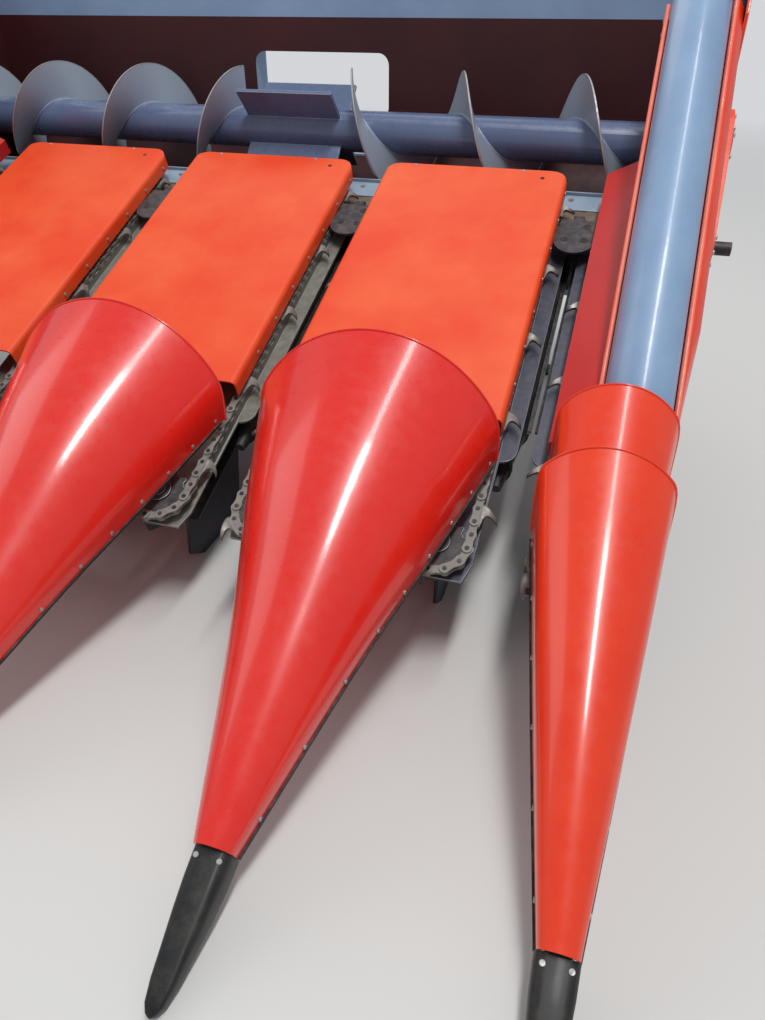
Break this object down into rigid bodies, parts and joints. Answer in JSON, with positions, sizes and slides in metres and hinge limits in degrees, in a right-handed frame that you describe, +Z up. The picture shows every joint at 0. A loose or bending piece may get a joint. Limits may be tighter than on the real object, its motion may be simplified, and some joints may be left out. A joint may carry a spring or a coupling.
{
  "type": "combine harvester maize header",
  "caption": "Row-crop maize header of a combine harvester with dividers, sheet hoods, gathering chains, stalk rolls, cross auger and parking stands.",
  "frame": {"origin": "on the ground, below the middle of the overall box", "axes": "+X to the right seen from the front of the dividers looking back, +Y to the rear where the feeder house joins, +Z up; the dividers point along -Y"},
  "size_m": [2.58, 2.3612, 1.2688],
  "materials": {
    "main_frame": "grey-blue enamel",
    "back_sheet": "dull dark red enamel with dust",
    "auger_trough": "dull dark red enamel with dust",
    "side_plate_left": "dull dark red enamel with dust",
    "side_plate_right": "dull dark red enamel with dust",
    "drive_case_left": "sun-faded orange-red enamel, satin",
    "drive_case_right": "sun-faded orange-red enamel, satin",
    "cross_shaft": "worn oily steel",
    "row_1_frame": "worn oily steel",
    "row_1_deck": "dark steel polished by stalks",
    "row_1_chains": "worn oily steel",
    "row_2_frame": "worn oily steel",
    "row_2_deck": "dark steel polished by stalks",
    "row_2_chains": "worn oily steel",
    "row_3_frame": "worn oily steel",
    "row_3_deck": "dark steel polished by stalks",
    "row_3_chains": "worn oily steel",
    "row_4_frame": "worn oily steel",
    "row_4_deck": "dark steel polished by stalks",
    "row_4_chains": "worn oily steel",
    "hood_2": "sun-faded orange-red enamel, satin",
    "hood_3": "sun-faded orange-red enamel, satin",
    "hood_4": "sun-faded orange-red enamel, satin",
    "end_hood_left": "sun-faded orange-red enamel, satin",
    "end_hood_right": "sun-faded orange-red enamel, satin",
    "collar_left": "sun-faded orange-red enamel, satin",
    "collar_right": "sun-faded orange-red enamel, satin",
    "guard_tube_left": "grey-blue enamel",
    "guard_tube_right": "grey-blue enamel",
    "auger_tube": "grey-blue enamel",
    "auger_flights": "worn grey enamel",
    "row_1_roll_left": "worn oily steel",
    "row_1_roll_right": "worn oily steel",
    "row_2_roll_left": "worn oily steel",
    "row_2_roll_right": "worn oily steel",
    "row_3_roll_left": "worn oily steel",
    "row_3_roll_right": "worn oily steel",
    "row_4_roll_left": "worn oily steel",
    "row_4_roll_right": "worn oily steel",
    "snout_1": "glossy red enamel",
    "tip_1": "satin black",
    "snout_2": "glossy red enamel",
    "tip_2": "satin black",
    "snout_3": "glossy red enamel",
    "tip_3": "satin black",
    "snout_4": "glossy red enamel",
    "tip_4": "satin black",
    "snout_5": "glossy red enamel",
    "tip_5": "satin black",
    "stand_left": "satin black",
    "stand_right": "satin black"
  },
  "bodies": {
    "header": {"main_frame": "main_frame", "back_sheet": "back_sheet", "auger_trough": "auger_trough", "side_plate_left": "side_plate_left", "side_plate_right": "side_plate_right", "drive_case_left": "drive_case_left", "drive_case_right": "drive_case_right", "cross_shaft": "cross_shaft", "row_1_frame": "row_1_frame", "row_1_deck": "row_1_deck", "row_1_chains": "row_1_chains", "row_2_frame": "row_2_frame", "row_2_deck": "row_2_deck", "row_2_chains": "row_2_chains", "row_3_frame": "row_3_frame", "row_3_deck": "row_3_deck", "row_3_chains": "row_3_chains", "row_4_frame": "row_4_frame", "row_4_deck": "row_4_deck", "row_4_chains": "row_4_chains", "hood_2": "hood_2", "hood_3": "hood_3", "hood_4": "hood_4", "end_hood_left": "end_hood_left", "end_hood_right": "end_hood_right", "collar_left": "collar_left", "collar_right": "collar_right", "guard_tube_left": "guard_tube_left", "guard_tube_right": "guard_tube_right"},
    "auger": {"auger_tube": "auger_tube", "auger_flights": "auger_flights"},
    "roll_1_left": {"row_1_roll_left": "row_1_roll_left"},
    "roll_1_right": {"row_1_roll_right": "row_1_roll_right"},
    "roll_2_left": {"row_2_roll_left": "row_2_roll_left"},
    "roll_2_right": {"row_2_roll_right": "row_2_roll_right"},
    "roll_3_left": {"row_3_roll_left": "row_3_roll_left"},
    "roll_3_right": {"row_3_roll_right": "row_3_roll_right"},
    "roll_4_left": {"row_4_roll_left": "row_4_roll_left"},
    "roll_4_right": {"row_4_roll_right": "row_4_roll_right"},
    "divider_1": {"snout_1": "snout_1", "tip_1": "tip_1"},
    "divider_2": {"snout_2": "snout_2", "tip_2": "tip_2"},
    "divider_3": {"snout_3": "snout_3", "tip_3": "tip_3"},
    "divider_4": {"snout_4": "snout_4", "tip_4": "tip_4"},
    "divider_5": {"snout_5": "snout_5", "tip_5": "tip_5"},
    "stand_left": {"stand_left": "stand_left"},
    "stand_right": {"stand_right": "stand_right"}
  },
  "joints": [
    {"name": "auger_turn", "type": "hinge", "parent": "header", "child": "auger", "pos_m": [0, 0.89958, 0.79695], "axis": [1, 0, 0], "continuous": true},
    {"name": "roll_1_left_turn", "type": "hinge", "parent": "header", "child": "roll_1_left", "pos_m": [-0.95, 0.56198, 0.54052], "axis": [0, 0.9317, 0.3633], "continuous": true},
    {"name": "roll_1_right_turn", "type": "hinge", "parent": "header", "child": "roll_1_right", "pos_m": [-0.85, 0.56198, 0.54052], "axis": [0, 0.9317, 0.3633], "continuous": true},
    {"name": "roll_2_left_turn", "type": "hinge", "parent": "header", "child": "roll_2_left", "pos_m": [-0.35, 0.56198, 0.54052], "axis": [0, 0.9317, 0.3633], "continuous": true},
    {"name": "roll_2_right_turn", "type": "hinge", "parent": "header", "child": "roll_2_right", "pos_m": [-0.25, 0.56198, 0.54052], "axis": [0, 0.9317, 0.3633], "continuous": true},
    {"name": "roll_3_left_turn", "type": "hinge", "parent": "header", "child": "roll_3_left", "pos_m": [0.25, 0.56198, 0.54052], "axis": [0, 0.9317, 0.3633], "continuous": true},
    {"name": "roll_3_right_turn", "type": "hinge", "parent": "header", "child": "roll_3_right", "pos_m": [0.35, 0.56198, 0.54052], "axis": [0, 0.9317, 0.3633], "continuous": true},
    {"name": "roll_4_left_turn", "type": "hinge", "parent": "header", "child": "roll_4_left", "pos_m": [0.85, 0.56198, 0.54052], "axis": [0, 0.9317, 0.3633], "continuous": true},
    {"name": "roll_4_right_turn", "type": "hinge", "parent": "header", "child": "roll_4_right", "pos_m": [0.95, 0.56198, 0.54052], "axis": [0, 0.9317, 0.3633], "continuous": true},
    {"name": "divider_1_lift", "type": "hinge", "parent": "header", "child": "divider_1", "pos_m": [-1.071, -0.25994, 0.34994], "axis": [-1, 0, 0], "range_deg": [0, 25]},
    {"name": "divider_2_lift", "type": "hinge", "parent": "header", "child": "divider_2", "pos_m": [-0.6, -0.16211, 0.38808], "axis": [-1, 0, 0], "range_deg": [0, 25]},
    {"name": "divider_3_lift", "type": "hinge", "parent": "header", "child": "divider_3", "pos_m": [0, -0.16211, 0.38808], "axis": [-1, 0, 0], "range_deg": [0, 25]},
    {"name": "divider_4_lift", "type": "hinge", "parent": "header", "child": "divider_4", "pos_m": [0.6, -0.16211, 0.38808], "axis": [-1, 0, 0], "range_deg": [0, 25]},
    {"name": "divider_5_lift", "type": "hinge", "parent": "header", "child": "divider_5", "pos_m": [1.071, -0.25994, 0.34994], "axis": [-1, 0, 0], "range_deg": [0, 25]},
    {"name": "stand_left_fold", "type": "hinge", "parent": "header", "child": "stand_left", "pos_m": [-0.8, 1.14058, 0.50195], "axis": [0, -1, 0], "range_deg": [0, 90]},
    {"name": "stand_right_fold", "type": "hinge", "parent": "header", "child": "stand_right", "pos_m": [0.8, 1.14058, 0.50195], "axis": [0, 1, 0], "range_deg": [0, 90]}
  ],
  "couplings": [
    {"joint": "roll_1_right_turn", "follows": "roll_1_left_turn", "ratio": -1},
    {"joint": "roll_2_left_turn", "follows": "roll_1_left_turn", "ratio": 1},
    {"joint": "roll_2_right_turn", "follows": "roll_1_left_turn", "ratio": -1},
    {"joint": "roll_3_left_turn", "follows": "roll_1_left_turn", "ratio": 1},
    {"joint": "roll_3_right_turn", "follows": "roll_1_left_turn", "ratio": -1},
    {"joint": "roll_4_left_turn", "follows": "roll_1_left_turn", "ratio": 1},
    {"joint": "roll_4_right_turn", "follows": "roll_1_left_turn", "ratio": -1}
  ]
}
